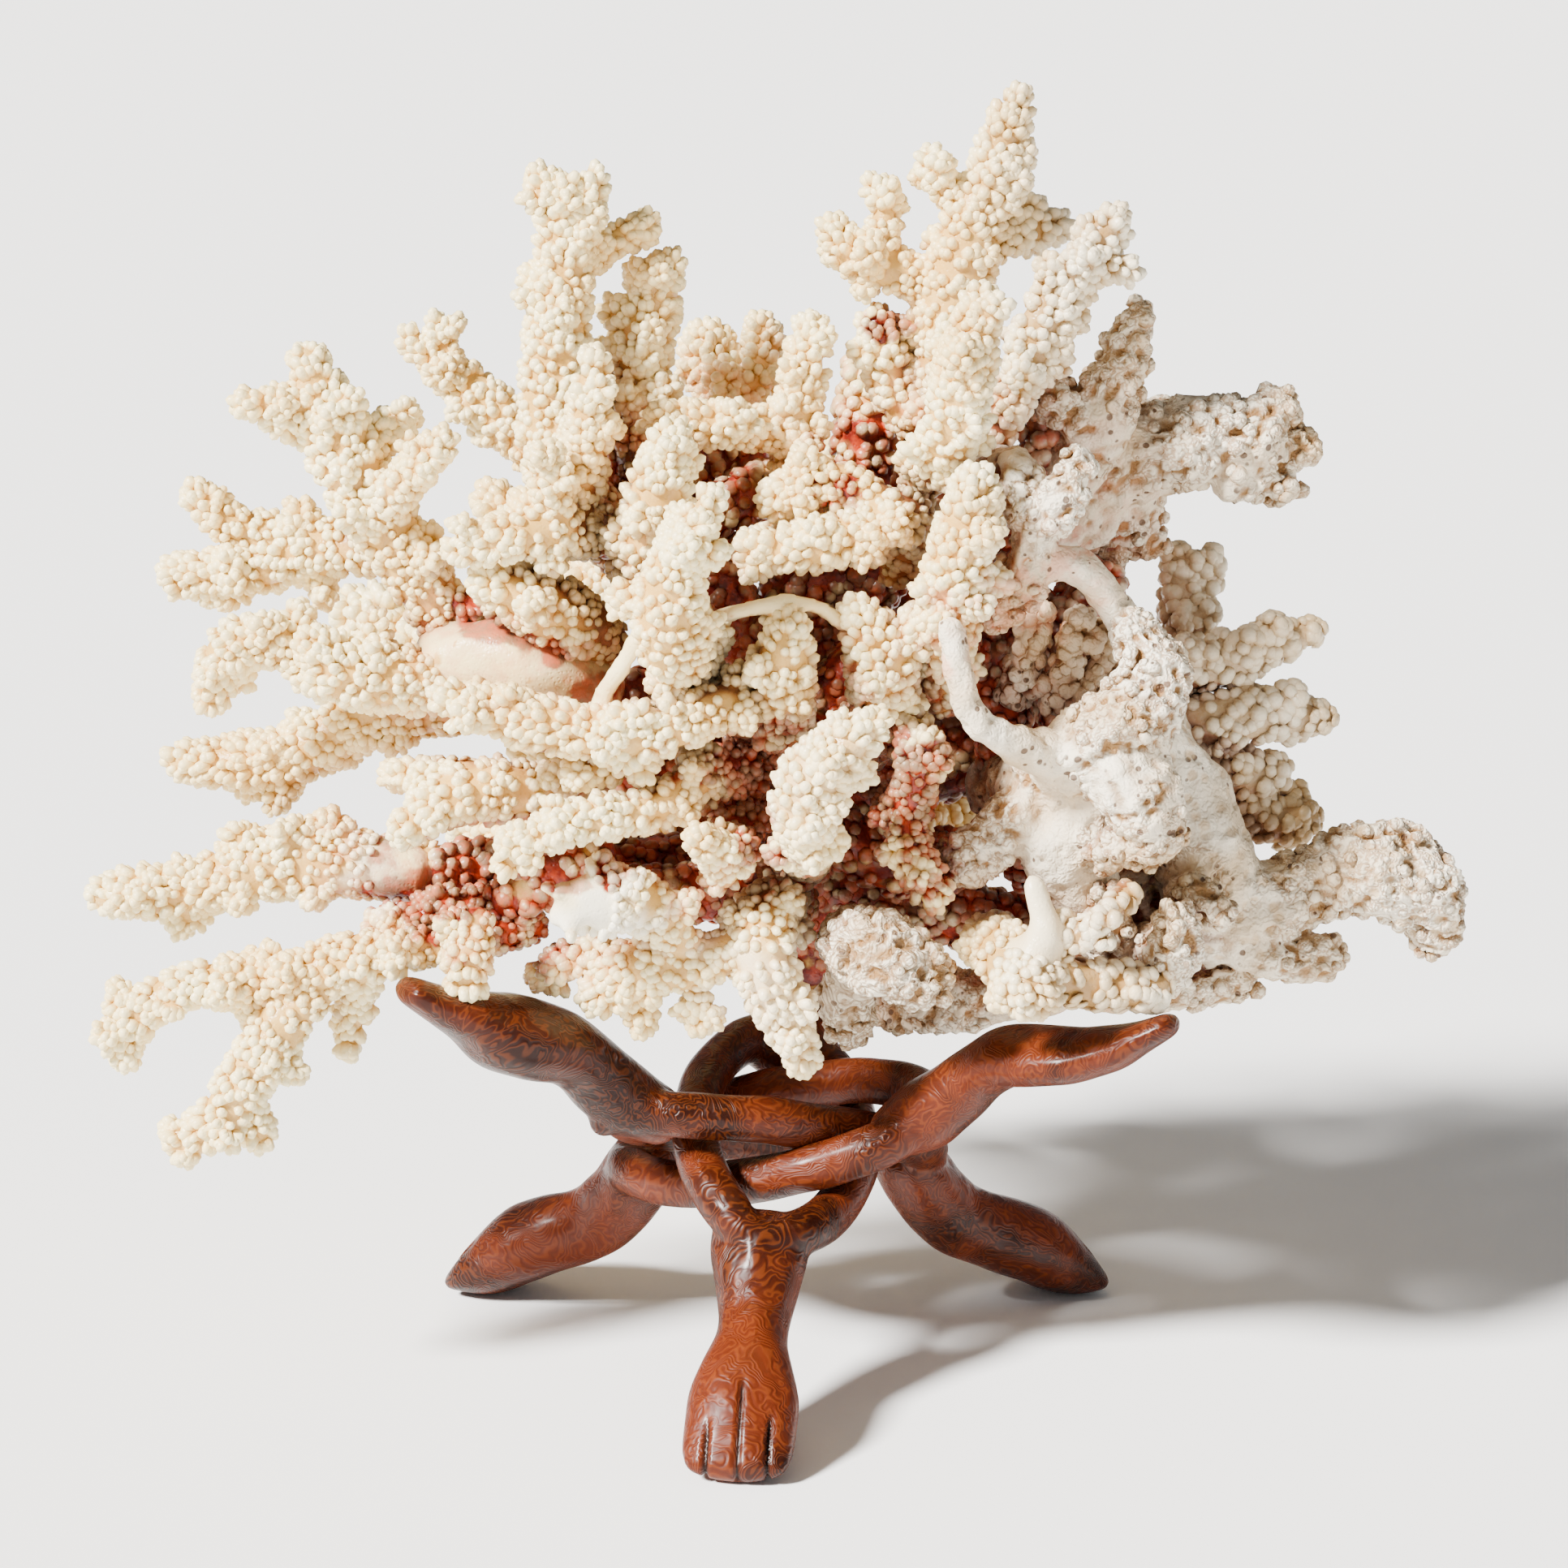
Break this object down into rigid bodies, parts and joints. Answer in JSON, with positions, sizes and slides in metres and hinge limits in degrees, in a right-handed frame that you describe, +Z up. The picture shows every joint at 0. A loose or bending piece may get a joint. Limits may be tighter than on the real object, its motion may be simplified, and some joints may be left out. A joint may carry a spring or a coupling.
{
  "type": "coral specimen on stand",
  "caption": "Large knobbly branching coral colony, cream fading to bleached and eroded, resting on a low stand of interlocked carved burl-wood legs.",
  "frame": {"origin": "on the floor, below the middle of the whole specimen's bounding box", "axes": "+X to the specimen's right as seen from the front, +Z up, the front faces -Y"},
  "size_m": [0.3753, 0.2395, 0.3518],
  "materials": {
    "burl_wood": "satin lacquer over swirling red-brown burl",
    "coral_cream": "matt ivory coral skeleton covered with small round knobs",
    "coral_bleached": "chalky, worn and pitted, grey-white to tan",
    "coral_stained": "matt, rust-brown in the hollows of the colony"
  },
  "bodies": {
    "root": {"stand_leg_front": "burl_wood", "stand_leg_right": "burl_wood", "stand_leg_left": "burl_wood", "coral_stems": "coral_stained", "coral_left_crown": "coral_cream", "coral_left_fan": "coral_cream", "coral_left_middle": "coral_cream", "coral_left_arm": "coral_cream", "coral_left_bough": "coral_cream", "coral_left_low": "coral_cream", "coral_left_hanging": "coral_cream", "coral_left_shoulder": "coral_cream", "coral_left_cheek": "coral_cream", "coral_top_left": "coral_cream", "coral_top_middle": "coral_cream", "coral_top_front": "coral_cream", "coral_middle_left": "coral_cream", "coral_front_lobe": "coral_cream", "coral_back_left_sprig": "coral_cream", "coral_top_cluster": "coral_cream", "coral_centre_band": "coral_cream", "coral_top_right": "coral_cream", "coral_top_front_lobe": "coral_cream", "coral_right_antler": "coral_cream", "coral_centre_shelf": "coral_cream", "coral_centre_lobe": "coral_cream", "coral_mid_right_cluster": "coral_cream", "coral_mid_cluster": "coral_cream", "coral_front_long": "coral_cream", "coral_front_curved": "coral_cream", "coral_front_white": "coral_cream", "coral_pink_stalk": "coral_cream", "coral_bottom_front": "coral_cream", "coral_brain_plate": "coral_bleached", "coral_eroded_spur": "coral_bleached", "coral_saddle": "coral_bleached", "coral_right_upper": "coral_bleached", "coral_right_rear": "coral_bleached", "coral_right_side": "coral_bleached", "coral_bleached_sheet": "coral_bleached", "coral_right_hook": "coral_bleached", "coral_right_foot": "coral_bleached", "coral_cream_lumps": "coral_cream", "coral_rear_left_high": "coral_cream", "coral_rear_left_side": "coral_cream", "coral_rear_left_low": "coral_cream", "coral_rear_middle_high": "coral_cream", "coral_rear_middle_low": "coral_cream", "coral_rear_right_high": "coral_cream", "coral_rear_right_side": "coral_cream", "coral_rear_right_low": "coral_cream"}
  },
  "joints": []
}
